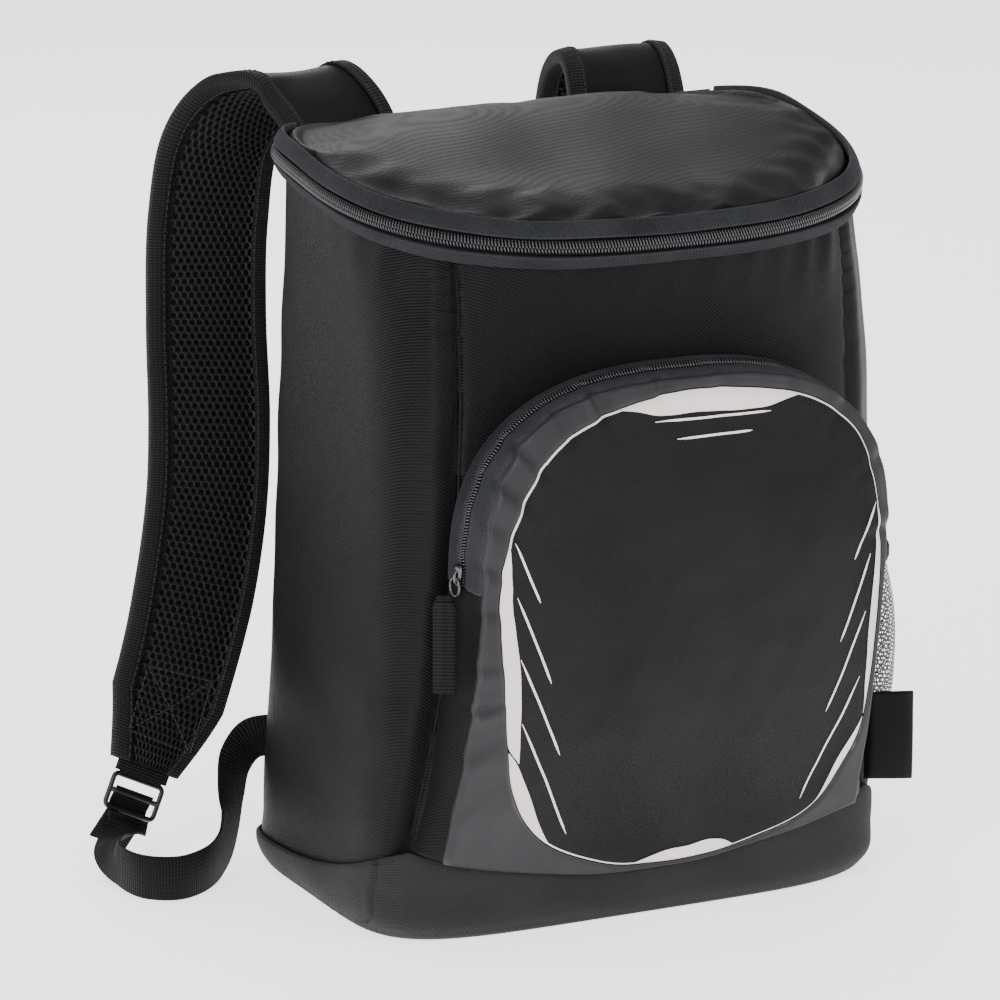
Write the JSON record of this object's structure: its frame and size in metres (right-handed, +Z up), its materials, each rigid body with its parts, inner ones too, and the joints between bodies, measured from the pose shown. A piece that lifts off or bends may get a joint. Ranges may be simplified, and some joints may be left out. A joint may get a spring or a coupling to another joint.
{
  "type": "cooler backpack",
  "caption": "Soft insulated cooler backpack with a zipped domed lid, a bulged front zip pocket, a net side pocket and padded shoulder straps with webbing loops.",
  "frame": {"origin": "middle of the flat underside of the base band, on the floor", "axes": "+Z up, -Y the front with the zip pocket, +Y the back panel with the straps, +X on the right of someone who looks at the front"},
  "size_m": [0.4274, 0.3269, 0.4391],
  "materials": {
    "body_twill": "black nylon twill with a soft sheen",
    "band_cloth": "charcoal coated pack cloth",
    "zip_tape": "dark blue-grey woven zip tape",
    "zip_teeth": "black shiny nylon coil",
    "pocket_cloth": "grey taffeta round a black twill centre with a pale printed edging",
    "slider_metal": "dark plated metal",
    "webbing": "black ribbed webbing",
    "net": "black open net",
    "strap_satin": "black satin twill over foam",
    "spacer_mesh": "black spacer mesh with small holes"
  },
  "bodies": {
    "root": {"insulated_body": "body_twill", "base_band": "band_cloth", "lid_panel": "body_twill", "lid_hinge": "body_twill", "lid_zip_tape_lower": "zip_tape", "lid_zip_coil": "zip_teeth", "lid_zip_tape_upper": "zip_tape", "lid_zip_slider": "slider_metal", "front_pocket_face": "pocket_cloth", "front_pocket_gusset_left": "body_twill", "front_pocket_gusset_right": "body_twill", "pocket_zip_tape_outer": "zip_tape", "pocket_zip_coil": "zip_teeth", "pocket_zip_tape_inner": "zip_tape", "pocket_zip_slider": "slider_metal", "pocket_zip_ring": "slider_metal", "pocket_zip_pull": "webbing", "net_pocket": "net", "net_pocket_hem": "webbing", "side_tag": "webbing", "strap_pad_left": "strap_satin", "strap_mesh_left": "spacer_mesh", "strap_binding_inner_left": "webbing", "strap_binding_outer_left": "webbing", "strap_tab_left": "webbing", "strap_buckle_left": "slider_metal", "strap_tail_left": "webbing", "strap_webbing_left": "webbing", "strap_pad_right": "strap_satin", "strap_mesh_right": "spacer_mesh", "strap_binding_inner_right": "webbing", "strap_binding_outer_right": "webbing", "strap_tab_right": "webbing", "strap_buckle_right": "slider_metal", "strap_tail_right": "webbing", "strap_webbing_right": "webbing"}
  },
  "joints": []
}
